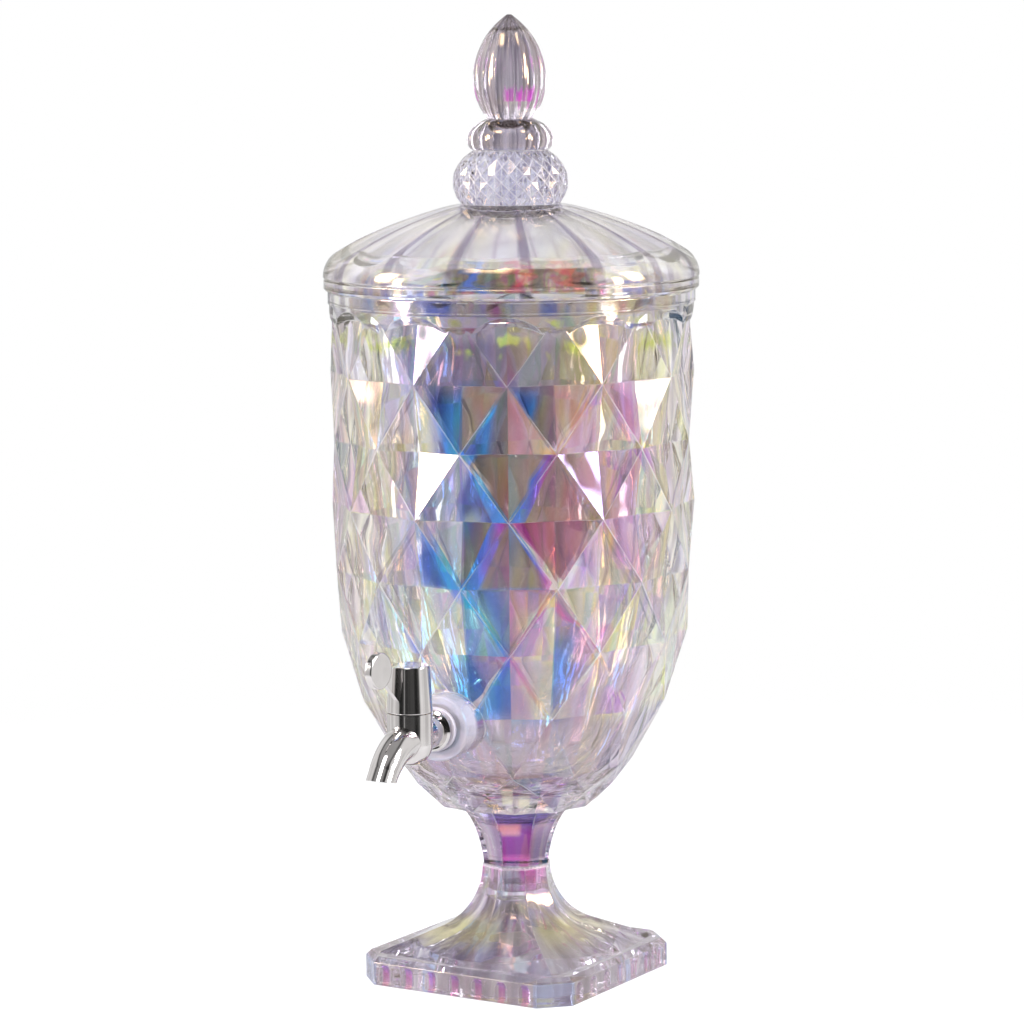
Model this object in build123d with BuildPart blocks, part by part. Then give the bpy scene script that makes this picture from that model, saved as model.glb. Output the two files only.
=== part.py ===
from build123d import *
import os
from math import asin, cos, degrees, radians, sin, sqrt, tan

os.makedirs("parts", exist_ok=True)

# Footed drinks dispenser: a diamond-cut bowl on a square-footed pedestal, with a fluted lid and a tap.
# Millimetres. The origin is on the table under the bowl's axis, +Z is up and the tap points to -Y.

# Heights above the table
SLAB_TOP = 15.5
WAIST = 62.0
BOWL_BOTTOM = 98.0
RIM_HEIGHT = 383.0

# Bowl
BOWL_RADIUS = 100.0  # to the points where ridges cross, on the upright part of the wall
BOTTOM_RADIUS = 45.0  # to the same points at the underside
TAPER_START = 259.0  # height at which the wall begins to draw in
TAPER_POWER = 2.9  # how late the wall draws in
BOWL_WALL = 10.0  # from the crossing points to the smooth inside
FLOOR_THICKNESS = 12.0
FLOOR_FLAT = 0.7  # flat part of the floor, as a share of its radius
INSIDE_STATIONS = 4
LIP_HEIGHT = 7.0
LIP_OVERHANG = 0.8  # beyond the crossing points
LIP_ROUND = 1.2
BAND_HEIGHT = 15.0  # smooth band under the lip, scalloped where the diamonds run up into it
BAND_LEAD = 8.0  # height over which the band rises out of the diamonds
BAND_LEAN = 2.2
SCOOP_RADIUS = 45.0  # of the ball-shaped cut that ends each upper diamond in an arch
SCOOP_STAND = 29.7  # from the crossing points out to the ball's middle
SCOOP_DROP = 42.8  # from the rim down to the ball's middle

# Diamonds on the bowl
DIAMONDS = 12
DIAMOND_ROWS = 7
DIMPLE_DEPTH = 2.0  # a diamond's middle lies this far behind the flat between its side corners
RIM_BAND = 9.2  # from the rim down to the highest row of crossing points
LOW_BAND = 23.8  # height of the two rows of small facets at the bottom
DIAMOND_TURN = -97.5  # direction of the first column of the even rows

# Eight-sided neck of the bowl and its spigot
NECK_SIDES = 8
WAIST_RADIUS = 17.9  # to the flats
COLLAR_RADIUS = 39.0  # to the flats, at the neck's upper end inside the bowl's floor
NECK_SINK = 2.0  # how far the neck runs into the floor
NECK_STATIONS = 6
NECK_POWER = 1.45
SPIGOT_RADIUS = 11.0
SPIGOT_DEPTH = 15.0
BOND_GAP = 0.1  # glue line round a spigot or stud

# Pedestal
FOOT_HALF = 66.8
CORNER_CUT = 14.4
FOOT_BEVEL = 3.0
FOOT_BORDER = 5.0  # from the foot's side to the lower edge of the flare
FLARE_RADIUS = 36.0
FLARE_TURN = 70.0
FLARE_STATIONS = 6
PEDESTAL_TURN = -7.3  # the pedestal stands slightly turned under the bowl
FOOT_WALL = 8.0
FOOT_RIM = 12.5  # width of the rim that the foot stands on, at the middle of a side
SOCKET_FLOOR = 4.0
FLUTES = 7  # on each side of the foot
FLUTE_RADIUS = 5.0
FLUTE_DEPTH = 1.8
FLUTE_FOOT = 1.5  # the flutes stop this far above the table
FLUTE_HEIGHT = 7.8  # to the spring of the arch

# Lid
LID_OVERHANG = 3.2  # beyond the crossing points of the bowl
CROWN_RISE = 48.4  # from the rim to the top of the dome, if it ran on under the finial
SHOULDER_RISE = 20.65
SHOULDER_INSET = 7.4
LID_WALL = 6.0
FLANGE_HEIGHT = 5.5
FLANGE_GROOVE = 1.2
LID_FIT = 0.8  # between the locating ring and the bowl's mouth
LOCATING_DEPTH = 9.0
LOCATING_WALL = 2.6
PETALS = 16
PETAL_TURN = 6.0  # direction of the first crease
PETAL_HOLLOW = 120.0  # radius across a petal
PETAL_BEND = 246.0  # radius along a petal
PETAL_TOP = 30.0  # distance from the axis at which a petal starts
PETAL_END_INSET = 2.8  # from the lid's edge
PETAL_OVERRUN = 12.0
SEAT_RADIUS = 28.0
STUD_RADIUS = 13.5
STUD_DEPTH = 9.5
STUD_BOSS_WALL = 3.4

# Finial, measured up from its seat on the lid
BALL_RADIUS = 31.7
BALL_WIDEST = 11.8
BALL_HALF_HEIGHT = 22.8
BALL_TOP = 29.3
BALL_DIAMONDS = 24
BALL_ROWS = 7
BALL_DIMPLE = 0.6
RING_RADIUS = 23.7
RING_WIDEST = 35.3
RING_HALF_HEIGHT = 13.0
FLAME_BOTTOM = 46.2
FLAME_NECK = 12.4
FLAME_RADIUS = 19.9
FLAME_WIDEST = 67.2
FLAME_TIP = 102.5
FLAME_TIP_RADIUS = 1.2
FINIAL_FLUTES = 16
FINIAL_HOLLOW = 0.03  # depth of a flute as a share of the radius
RING_STATIONS = 5
FLAME_STATIONS = 7

# Tap, along its shank from the bowl's axis
TAP_HEIGHT = 155.5
BOSS_STAND = 18.3  # from the crossing points out to the boss's face
BOSS_RADIUS = 17.8
BOSS_DEPTH = 30.0  # the boss starts this far inside the bowl's wall
BOSS_WALL = 3.0
BOSS_FRONT = 4.5
BOSS_ROUND = 1.5
SHANK_RADIUS = 8.0
SHANK_CLEARANCE = 0.2
GASKET_THICKNESS = 2.5
OUTER_GASKET_RADIUS = 11.8
INNER_GASKET_RADIUS = 12.8
NUT_FLATS = 22.0
NUT_THICKNESS = 7.0
NUT_CHAMFER = 0.8
SHANK_TAIL = 3.5  # thread beyond the nut
FLANGE_RADIUS = 11.1
FLANGE_THICKNESS = 5.0
FLANGE_EDGE = 1.2
TAP_NECK_RADIUS = 9.0
BARREL_STAND = 32.2  # from the boss's face to the barrel's axis
BARREL_RADIUS = 12.0
BELLY_DROP = 2.0  # from the shank's axis to the middle of the rounded end
BARREL_RISE = 14.5  # from the shank's axis to the top of the barrel
PASSAGE_RADIUS = 4.0
SPOUT_START = 6.0  # from the barrel's axis to the start of the bend
SPOUT_DROP = 0.3  # below the shank's axis
SPOUT_BEND = 34.8
SPOUT_TURN = 50.0
SPOUT_RUN = 4.3  # from the end of the bend to the mouth
MOUTH_TURN = 76.0  # the mouth is cut this far round, nearly level
SPOUT_ROOT_RADIUS = 9.5
SPOUT_TIP_RADIUS = 7.8
SPOUT_BORE = 5.2
SPOUT_STATIONS = 5

# Valve plug, turning in the barrel
PLUG_RADIUS = 7.44
PLUG_CLEARANCE = 0.06
PLUG_END_GAP = 0.1
PLUG_BELOW = 7.4  # from the shank's axis to the plug's lower end
RING_OFFSET = 5.6  # from the shank's axis to each sealing ring
RING_SECTION = 0.8
GROOVE_GAP = 0.06
SNAP_RISE = 8.2  # from the shank's axis to the snap rib
SNAP_WIDTH = 1.0
SNAP_HEIGHT = 0.4
STEM_SQUARE = 9.0
STEM_RISE = 28.2
STEM_GAP = 0.06

# Handle
HANDLE_GAP = 0.3
HANDLE_FOOT_RADIUS = 12.1
HANDLE_TOP_RADIUS = 10.7
HANDLE_HEIGHT = 24.7
HANDLE_ROUND = 0.6
CAP_RADIUS = 8.5
CAP_THICKNESS = 2.0
CAP_GAP = 0.1
CAP_CHAMFER = 0.5
SCREW_HEAD_RADIUS = 3.0
SCREW_HEAD_HEIGHT = 2.4
SCREW_RADIUS = 1.45
SCREW_LENGTH = 9.0
SCREW_GAP = 0.15
HANDLE_WEB = 3.5  # between the stem's end and the screw's head
LEVER_TURN = 81.0  # from square to the shank towards the front
LEVER_RADIUS = 9.6
LEVER_CENTRE = 28.2  # from the handle's axis
LEVER_RISE = 25.7  # heights above the handle's foot
LEVER_ROOT_LOW = 7.4
LEVER_THICKNESS = 4.2
LEVER_EDGE = 0.8


def envelope(height):
    """Radius of the bowl's crossing points at a height."""
    drop = max(0.0, TAPER_START - height) / (TAPER_START - BOWL_BOTTOM)
    return BOWL_RADIUS - (BOWL_RADIUS - BOTTOM_RADIUS) * drop**TAPER_POWER


# Places worked out from these
TOP_ROW = RIM_HEIGHT - RIM_BAND
BAND_TOP = BOWL_BOTTOM + LOW_BAND
ROW_PITCH = (TOP_ROW - BAND_TOP) / DIAMOND_ROWS
MOUTH_RADIUS = BOWL_RADIUS - BOWL_WALL
SHOULDER = RIM_HEIGHT - LIP_HEIGHT
FLOOR = BOWL_BOTTOM + FLOOR_THICKNESS
NECK_TOP = BOWL_BOTTOM + NECK_SINK
SPIGOT_END = WAIST - SPIGOT_DEPTH
LID_RADIUS = BOWL_RADIUS + LID_OVERHANG
TAP_PLANE = Plane(origin=(0, 0, TAP_HEIGHT), x_dir=(1, 0, 0), z_dir=(0, -1, 0))
FOOT_PLANE = Plane.XY.rotated((0, 0, PEDESTAL_TURN))
BOSS_FACE = envelope(TAP_HEIGHT) + BOSS_STAND
BOSS_ROOT = envelope(TAP_HEIGHT) - BOSS_DEPTH
BARREL_REACH = BOSS_FACE + BARREL_STAND
BARREL_TOP = TAP_HEIGHT + BARREL_RISE
BARREL_AXIS = Axis((0, -BARREL_REACH, 0), (0, 0, 1))
BARREL_PLANE = Plane(origin=(0, -BARREL_REACH, 0), x_dir=(1, 0, 0), z_dir=(0, 0, 1))
BARREL_SIDE = Plane(origin=(0, -BARREL_REACH, 0), x_dir=(1, 0, 0), z_dir=(0, -1, 0))
PLUG_BORE = PLUG_RADIUS + PLUG_CLEARANCE
PLUG_END = TAP_HEIGHT - PLUG_BELOW
FLANGE_BACK = BOSS_FACE + GASKET_THICKNESS
POCKET_FACE = BOSS_FACE - BOSS_FRONT
NUT_FACE = POCKET_FACE - GASKET_THICKNESS
SHANK_END = NUT_FACE - NUT_THICKNESS - SHANK_TAIL
HANDLE_FOOT = BARREL_TOP + HANDLE_GAP
HANDLE_TOP = HANDLE_FOOT + HANDLE_HEIGHT
STEM_TOP = TAP_HEIGHT + STEM_RISE


def triangle(a, b, c):
    return Face(Wire.make_polygon([a, b, c]))


def diamond_solid(rows, diamonds, dimple, turn):
    """Closed solid cut with diamonds, each a shallow four-sided hollow between ridges.

    rows holds a height and a radius for each row of crossing points, from the top down. Every other
    point of a row is a crossing, and the points between them are the middles of diamonds.
    """
    columns = 2 * diamonds
    step = 360 / columns
    rings = []
    for level, (height, radius) in enumerate(rows):
        ring = []
        for column in range(columns):
            crossing = (level + column) % 2 == 0
            middle = radius * (cos(radians(step)) - dimple / rows[0][1])
            reach = radius if crossing else middle
            angle = radians(turn + step * column)
            ring.append(Vector(reach * cos(angle), reach * sin(angle), height))
        rings.append(ring)
    faces = [Face(Wire.make_polygon(rings[0])), Face(Wire.make_polygon(rings[-1]))]
    for level, (upper, lower) in enumerate(zip(rings, rings[1:])):
        for column in range(columns):
            after = (column + 1) % columns
            if (level + column) % 2 == 0:
                faces.append(triangle(upper[column], upper[after], lower[after]))
                faces.append(triangle(upper[column], lower[after], lower[column]))
            else:
                faces.append(triangle(upper[column], upper[after], lower[column]))
                faces.append(triangle(upper[after], lower[after], lower[column]))
    return Solid(Shell(faces))


def polar(radius, angle):
    return (radius * cos(radians(angle)), radius * sin(radians(angle)))


def arc_inset(radius, depth):
    """How far an arc that starts upright has drawn in after a depth along the axis."""
    return radius - sqrt(radius**2 - depth**2)


def arc_radius(inset, depth):
    """Radius of the arc that draws in by inset over a depth along the axis."""
    return (inset**2 + depth**2) / (2 * inset)


# Bowl
bowl_rows = [(TOP_ROW + ROW_PITCH, BOWL_RADIUS)]
for row in range(DIAMOND_ROWS + 1):
    row_height = TOP_ROW - ROW_PITCH * row
    bowl_rows.append((row_height, envelope(row_height)))
bowl_rows.append((BOWL_BOTTOM + LOW_BAND / 2, envelope(BOWL_BOTTOM + LOW_BAND / 2)))
bowl_rows.append((BOWL_BOTTOM, envelope(BOWL_BOTTOM)))
bowl_cut = diamond_solid(bowl_rows, DIAMONDS, DIMPLE_DEPTH, DIAMOND_TURN)

with BuildPart() as rim_band:
    with BuildSketch(Plane.XZ):
        Polygon(
            (0, SHOULDER),
            (0, SHOULDER - BAND_HEIGHT),
            (BOWL_RADIUS - BAND_LEAN, SHOULDER - BAND_HEIGHT),
            (BOWL_RADIUS, SHOULDER - BAND_HEIGHT + BAND_LEAD),
            (BOWL_RADIUS, SHOULDER),
            align=None,
        )
    revolve(axis=Axis.Z)
    with PolarLocations(BOWL_RADIUS + SCOOP_STAND, DIAMONDS, start_angle=DIAMOND_TURN):
        with Locations((0, 0, RIM_HEIGHT - SCOOP_DROP)):
            Sphere(SCOOP_RADIUS, mode=Mode.SUBTRACT)

with BuildPart() as bowl:
    add(bowl_cut)
    with BuildSketch(Plane.XY.offset(BOWL_BOTTOM)):
        Circle(BOWL_RADIUS + LIP_OVERHANG)
    extrude(amount=SHOULDER - BOWL_BOTTOM, mode=Mode.INTERSECT)
    add(rim_band.part)
    with BuildSketch(Plane.XY.offset(SHOULDER)):
        Circle(BOWL_RADIUS + LIP_OVERHANG)
    extrude(amount=LIP_HEIGHT)
    fillet(bowl.faces().sort_by(Axis.Z)[-1].edges(), LIP_ROUND)
    with BuildSketch(TAP_PLANE.offset(BOSS_ROOT)):
        Circle(BOSS_RADIUS)
    extrude(amount=BOSS_FACE - BOSS_ROOT)
    fillet(bowl.faces().sort_by(Axis.Y)[0].edges(), BOSS_ROUND)
    with BuildSketch(Plane.XZ):
        with BuildLine():
            inner = []
            for station in range(INSIDE_STATIONS):
                inner_height = TAPER_START - (TAPER_START - FLOOR) * station / INSIDE_STATIONS
                inner.append((envelope(inner_height) - BOWL_WALL, inner_height))
            inner.append(((envelope(FLOOR) - BOWL_WALL) * FLOOR_FLAT, FLOOR))
            wall = Spline(inner, tangents=[(0, -1), (-1, 0)])
            Polyline(wall @ 1, (0, FLOOR), (0, RIM_HEIGHT), (MOUTH_RADIUS, RIM_HEIGHT), wall @ 0)
        make_face()
    revolve(axis=Axis.Z, mode=Mode.SUBTRACT)
    with BuildSketch(TAP_PLANE.offset(BOSS_ROOT)):
        Circle(BOSS_RADIUS - BOSS_WALL)
    extrude(amount=POCKET_FACE - BOSS_ROOT, mode=Mode.SUBTRACT)
    with BuildSketch(TAP_PLANE.offset(BOSS_ROOT)):
        Circle(SHANK_RADIUS + SHANK_CLEARANCE)
    extrude(amount=BOSS_FACE - BOSS_ROOT, mode=Mode.SUBTRACT)
    for station in range(NECK_STATIONS):
        down = station / (NECK_STATIONS - 1)
        spread = (COLLAR_RADIUS - WAIST_RADIUS) * (1 - down) ** NECK_POWER
        with BuildSketch(Plane.XY.offset(NECK_TOP - (NECK_TOP - WAIST) * down**2)):
            RegularPolygon(WAIST_RADIUS + spread, NECK_SIDES, major_radius=False)
    loft()
    with BuildSketch(Plane.XY.offset(SPIGOT_END)):
        Circle(SPIGOT_RADIUS)
    extrude(amount=SPIGOT_DEPTH)

bowl.part.label = "bowl"
export_step(bowl.part, "parts/bowl.step")

# Pedestal
WAIST_CORNER = WAIST_RADIUS / cos(radians(180 / NECK_SIDES))
FLARE_CENTRE = WAIST_CORNER + FLARE_RADIUS
CORNER_REACH = (2 * FOOT_HALF - CORNER_CUT) / sqrt(2) - FOOT_BORDER
SIDE_REACH = FOOT_HALF - FOOT_BORDER


def flare_section(height, reach):
    """Eight-sided section with ridges towards the foot's corners and the middles of its sides."""
    share = (reach - WAIST_CORNER) / (CORNER_REACH - WAIST_CORNER)
    side = WAIST_CORNER + (SIDE_REACH - WAIST_CORNER) * share
    points = []
    for ridge in range(NECK_SIDES):
        points.append(polar(side if ridge % 2 == 0 else reach, 360 / NECK_SIDES * ridge))
    with BuildSketch(FOOT_PLANE.offset(height)) as section:
        Polygon(*points, align=None)
    return section.sketch


HOLLOW_BEND = FLARE_RADIUS + FOOT_WALL
HOLLOW_TOP = SPIGOT_END - SOCKET_FLOOR
HOLLOW_RADIUS = FOOT_HALF - FOOT_RIM
hollow_start = degrees(asin((WAIST - HOLLOW_TOP) / HOLLOW_BEND))


def hollow_point(turn):
    return (FLARE_CENTRE - HOLLOW_BEND * cos(radians(turn)), WAIST - HOLLOW_BEND * sin(radians(turn)))


with BuildPart() as pedestal:
    with BuildSketch(FOOT_PLANE) as foot:
        Rectangle(2 * FOOT_HALF, 2 * FOOT_HALF)
        chamfer(foot.vertices(), CORNER_CUT)
    extrude(amount=SLAB_TOP)
    chamfer(pedestal.faces().sort_by(Axis.Z)[-1].edges(), FOOT_BEVEL)
    flute_place = FOOT_HALF + FLUTE_RADIUS - FLUTE_DEPTH
    flute_pitch = 2 * (FOOT_HALF - CORNER_CUT) / FLUTES
    standing = (Align.CENTER, Align.CENTER, Align.MIN)
    with PolarLocations(flute_place, 4, start_angle=PEDESTAL_TURN):
        with GridLocations(1, flute_pitch, 1, FLUTES):
            with Locations((0, 0, FLUTE_FOOT)):
                Cylinder(FLUTE_RADIUS, FLUTE_HEIGHT - FLUTE_FOOT, align=standing, mode=Mode.SUBTRACT)
            with Locations((0, 0, FLUTE_HEIGHT)):
                Sphere(FLUTE_RADIUS, mode=Mode.SUBTRACT)
    flare = []
    for station in range(FLARE_STATIONS):
        turn = radians(FLARE_TURN * station / (FLARE_STATIONS - 1))
        reach = FLARE_CENTRE - FLARE_RADIUS * cos(turn)
        flare.append(flare_section(WAIST - FLARE_RADIUS * sin(turn), reach))
    loft(flare)
    loft([flare[-1], flare_section(SLAB_TOP, CORNER_REACH)], ruled=True)
    with BuildSketch(Plane.XZ):
        with BuildLine():
            bend = ThreePointArc(
                hollow_point(hollow_start),
                hollow_point((hollow_start + FLARE_TURN) / 2),
                hollow_point(FLARE_TURN),
            )
            fall = (HOLLOW_RADIUS - (bend @ 1).X) / tan(radians(FLARE_TURN))
            Polyline(
                bend @ 1,
                (HOLLOW_RADIUS, (bend @ 1).Y - fall),
                (HOLLOW_RADIUS, 0),
                (0, 0),
                (0, HOLLOW_TOP),
                bend @ 0,
            )
        make_face()
    revolve(axis=Axis.Z, mode=Mode.SUBTRACT)
    with BuildSketch(Plane.XY.offset(SPIGOT_END - BOND_GAP)):
        Circle(SPIGOT_RADIUS + BOND_GAP)
    extrude(amount=SPIGOT_DEPTH + BOND_GAP, mode=Mode.SUBTRACT)

pedestal.part.label = "pedestal"
export_step(pedestal.part, "parts/pedestal.step")

# Lid
SHOULDER_RADIUS = LID_RADIUS - SHOULDER_INSET
DOME_RISE = CROWN_RISE - SHOULDER_RISE
DOME_RADIUS = (SHOULDER_RADIUS**2 + DOME_RISE**2) / (2 * DOME_RISE)
DOME_CENTRE = RIM_HEIGHT + CROWN_RISE - DOME_RADIUS
SEAT = DOME_CENTRE + sqrt(DOME_RADIUS**2 - SEAT_RADIUS**2)
RING_OUTSIDE = MOUTH_RADIUS - LID_FIT
RING_INSIDE = RING_OUTSIDE - LOCATING_WALL
STUD_HOLE = STUD_RADIUS + BOND_GAP
STUD_BOSS = STUD_RADIUS + STUD_BOSS_WALL
STUD_END = SEAT - STUD_DEPTH


def dome_point(reach, inset=0.0):
    return (reach, DOME_CENTRE + sqrt((DOME_RADIUS - inset) ** 2 - reach**2))


# The rim is an arc that leaves the dome smoothly and ends upright
RIM_ROUND = SHOULDER_INSET / (1 - SHOULDER_RADIUS / DOME_RADIUS)
RIM_DROP = RIM_ROUND * sqrt(1 - (SHOULDER_RADIUS / DOME_RADIUS) ** 2)
RIM_WIDEST = dome_point(SHOULDER_RADIUS)[1] - RIM_DROP


def rim_point(reach):
    return (reach, RIM_WIDEST + sqrt(RIM_ROUND**2 - (reach - LID_RADIUS + RIM_ROUND) ** 2))


# Each petal is hollowed by a ring that bends less than the dome, so that it runs out at the rim
petal_top = Vector(*dome_point(PETAL_TOP))
petal_end = Vector(*rim_point(LID_RADIUS - PETAL_END_INSET))
petal_chord = petal_end - petal_top
petal_normal = Vector(-petal_chord.Y, petal_chord.X).normalized()
petal_middle = (petal_top + petal_end) * 0.5
petal_pivot = petal_middle - petal_normal * sqrt(PETAL_BEND**2 - (petal_chord.length / 2) ** 2)
petal_sweep = degrees(asin((petal_chord.length / 2 + PETAL_OVERRUN) / PETAL_BEND))

with BuildPart() as lid:
    with BuildSketch(Plane.XZ):
        with BuildLine():
            dome = ThreePointArc(
                dome_point(SEAT_RADIUS),
                dome_point((SEAT_RADIUS + SHOULDER_RADIUS) / 2),
                dome_point(SHOULDER_RADIUS),
            )
            rim = TangentArc(dome @ 1, (LID_RADIUS, RIM_WIDEST), tangent=dome % 1)
            Polyline(
                rim @ 1,
                (LID_RADIUS - FLANGE_GROOVE, RIM_HEIGHT + FLANGE_HEIGHT + FLANGE_GROOVE),
                (LID_RADIUS - FLANGE_GROOVE / 4, RIM_HEIGHT + FLANGE_HEIGHT),
                (LID_RADIUS - FLANGE_GROOVE / 4, RIM_HEIGHT + FLANGE_GROOVE),
                (LID_RADIUS - FLANGE_GROOVE, RIM_HEIGHT),
                (RING_OUTSIDE, RIM_HEIGHT),
                (RING_OUTSIDE, RIM_HEIGHT - LOCATING_DEPTH),
                (RING_INSIDE, RIM_HEIGHT - LOCATING_DEPTH),
                dome_point(RING_INSIDE, LID_WALL),
            )
            ThreePointArc(
                dome_point(RING_INSIDE, LID_WALL),
                dome_point(RING_INSIDE / 2, LID_WALL),
                dome_point(STUD_BOSS, LID_WALL),
            )
            Polyline(
                dome_point(STUD_BOSS, LID_WALL),
                (STUD_BOSS, STUD_END),
                (STUD_HOLE, STUD_END),
                (STUD_HOLE, SEAT),
                dome @ 0,
            )
        make_face()
    revolve(axis=Axis.Z)
    hollow_axis = PETAL_BEND + PETAL_HOLLOW
    for petal in range(PETALS):
        meridian = Plane.XZ.rotated((0, 0, PETAL_TURN - 90 + 360 / PETALS * (petal + 0.5)))
        pivot = meridian.from_local_coords(petal_pivot)
        outward = meridian.from_local_coords(petal_pivot + petal_normal) - pivot
        along = meridian.from_local_coords(petal_pivot + petal_chord) - pivot
        across = Plane(origin=pivot + outward * hollow_axis, x_dir=outward, z_dir=along)
        for way in (1, -1):
            with BuildSketch(across):
                Circle(PETAL_HOLLOW)
            swing = Axis(pivot, meridian.z_dir * way)
            revolve(axis=swing, revolution_arc=petal_sweep, mode=Mode.SUBTRACT)

lid.part.label = "lid"
export_step(lid.part, "parts/lid.step")

# Finial
def ball_radius(rise):
    return BALL_RADIUS * sqrt(1 - ((rise - BALL_WIDEST) / BALL_HALF_HEIGHT) ** 2)


def ring_radius(rise):
    return RING_RADIUS * sqrt(1 - ((rise - RING_WIDEST) / RING_HALF_HEIGHT) ** 2)


def flame_radius(rise):
    """The flame is two arcs that meet upright at its widest point."""
    if rise < FLAME_WIDEST:
        bend = arc_radius(FLAME_RADIUS - FLAME_NECK, FLAME_WIDEST - FLAME_BOTTOM)
    else:
        bend = arc_radius(FLAME_RADIUS - FLAME_TIP_RADIUS, FLAME_TIP - FLAME_WIDEST)
    return FLAME_RADIUS - arc_inset(bend, abs(rise - FLAME_WIDEST))


def fluted_section(rise, radius):
    """Section of hollow flutes that meet in ridges."""
    step = 360 / FINIAL_FLUTES
    hollow = radius * (cos(radians(step / 2)) - FINIAL_HOLLOW)
    with BuildSketch(Plane.XY.offset(SEAT + rise)) as section:
        with BuildLine():
            for flute in range(FINIAL_FLUTES):
                ThreePointArc(
                    polar(radius, step * flute),
                    polar(hollow, step * (flute + 0.5)),
                    polar(radius, step * (flute + 1)),
                )
        make_face()
    return section.sketch


ball_rows = []
for row in range(BALL_ROWS + 1):
    row_rise = BALL_TOP * (1 - row / BALL_ROWS)
    ball_rows.append((SEAT + row_rise, ball_radius(row_rise)))
ball_cut = diamond_solid(ball_rows, BALL_DIAMONDS, BALL_DIMPLE, 0)

with BuildPart() as finial:
    add(ball_cut)
    ring = []
    for station in range(RING_STATIONS):
        rise = BALL_TOP + (FLAME_BOTTOM - BALL_TOP) * station / (RING_STATIONS - 1)
        ring.append(fluted_section(rise, max(ring_radius(rise), FLAME_NECK)))
    loft(ring)
    flame = []
    for station in range(FLAME_STATIONS):
        rise = FLAME_BOTTOM + (FLAME_TIP - FLAME_BOTTOM) * station / (FLAME_STATIONS - 1)
        flame.append(fluted_section(rise, flame_radius(rise)))
    loft(flame)
    with BuildSketch(Plane.XY.offset(STUD_END)):
        Circle(STUD_RADIUS)
    extrude(amount=STUD_DEPTH)

finial.part.label = "finial"
export_step(finial.part, "parts/finial.step")

# Tap body
SPOUT_END_TURN = radians(SPOUT_TURN)


def spout_plane(turn):
    """Plane across the spout after a turn of its bend, facing the way that the drink flows."""
    forward = BARREL_REACH + SPOUT_START + SPOUT_BEND * sin(turn)
    height = TAP_HEIGHT - SPOUT_DROP - SPOUT_BEND * (1 - cos(turn))
    return Plane(origin=(0, -forward, height), x_dir=(1, 0, 0), z_dir=(0, -cos(turn), -sin(turn)))


mouth_middle = spout_plane(SPOUT_END_TURN).from_local_coords(Vector(0, 0, SPOUT_RUN))
mouth_turn = radians(MOUTH_TURN)
mouth_plane = Plane(mouth_middle, x_dir=(1, 0, 0), z_dir=(0, -cos(mouth_turn), -sin(mouth_turn)))
SPOUT_LENGTH = SPOUT_RUN + SPOUT_TIP_RADIUS  # before the mouth is cut


def on_flange(edge):
    return abs(edge.radius - FLANGE_RADIUS) < 0.001


with BuildPart() as tap_body:
    with BuildSketch(BARREL_SIDE):
        with BuildLine():
            belly = CenterArc((0, TAP_HEIGHT - BELLY_DROP), BARREL_RADIUS, -90, 90)
            Polyline(belly @ 1, (BARREL_RADIUS, BARREL_TOP), (0, BARREL_TOP), belly @ 0)
        make_face()
    revolve(axis=BARREL_AXIS)
    with BuildSketch(TAP_PLANE.offset(SHANK_END)):
        Circle(SHANK_RADIUS)
    extrude(amount=FLANGE_BACK - SHANK_END)
    with BuildSketch(TAP_PLANE.offset(FLANGE_BACK)):
        Circle(FLANGE_RADIUS)
    extrude(amount=FLANGE_THICKNESS)
    chamfer(tap_body.edges().filter_by(GeomType.CIRCLE).filter_by(on_flange).sort_by(Axis.Y)[0], FLANGE_EDGE)
    with BuildSketch(TAP_PLANE.offset(FLANGE_BACK)):
        Circle(TAP_NECK_RADIUS)
    extrude(amount=BARREL_REACH - BARREL_RADIUS / 2 - FLANGE_BACK)
    for station in range(SPOUT_STATIONS):
        along = station / (SPOUT_STATIONS - 1)
        with BuildSketch(spout_plane(SPOUT_END_TURN * along)):
            Circle(SPOUT_ROOT_RADIUS + (SPOUT_TIP_RADIUS - SPOUT_ROOT_RADIUS) * along)
    loft()
    with BuildSketch(spout_plane(SPOUT_END_TURN)):
        Circle(SPOUT_TIP_RADIUS)
    extrude(amount=SPOUT_LENGTH)
    for station in range(SPOUT_STATIONS):
        along = station / (SPOUT_STATIONS - 1)
        with BuildSketch(spout_plane(SPOUT_END_TURN * along)):
            Circle(PASSAGE_RADIUS + (SPOUT_BORE - PASSAGE_RADIUS) * along)
    loft(mode=Mode.SUBTRACT)
    with BuildSketch(spout_plane(SPOUT_END_TURN)):
        Circle(SPOUT_BORE)
    extrude(amount=SPOUT_LENGTH, mode=Mode.SUBTRACT)
    with BuildSketch(mouth_plane):
        Circle(2 * SPOUT_TIP_RADIUS)
    extrude(amount=SPOUT_LENGTH, mode=Mode.SUBTRACT)
    with BuildSketch(TAP_PLANE.offset(SHANK_END)):
        Circle(PASSAGE_RADIUS)
    extrude(amount=BARREL_REACH - PLUG_RADIUS / 2 - SHANK_END, mode=Mode.SUBTRACT)
    with BuildSketch(BARREL_PLANE.offset(PLUG_END - PLUG_END_GAP)):
        Circle(PLUG_BORE)
    extrude(amount=BARREL_TOP - PLUG_END + PLUG_END_GAP, mode=Mode.SUBTRACT)
    with BuildSketch(BARREL_PLANE.offset(TAP_HEIGHT + SNAP_RISE - PLUG_END_GAP)):
        Circle(PLUG_BORE + SNAP_HEIGHT)
    extrude(amount=SNAP_WIDTH + 2 * PLUG_END_GAP, mode=Mode.SUBTRACT)

tap_body.part.label = "tap_body"
export_step(tap_body.part, "parts/tap_body.step")

# Gaskets and nut on the shank
with BuildPart() as outer_gasket:
    with BuildSketch(TAP_PLANE.offset(BOSS_FACE)):
        Circle(OUTER_GASKET_RADIUS)
        Circle(SHANK_RADIUS + SHANK_CLEARANCE, mode=Mode.SUBTRACT)
    extrude(amount=GASKET_THICKNESS)

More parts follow.
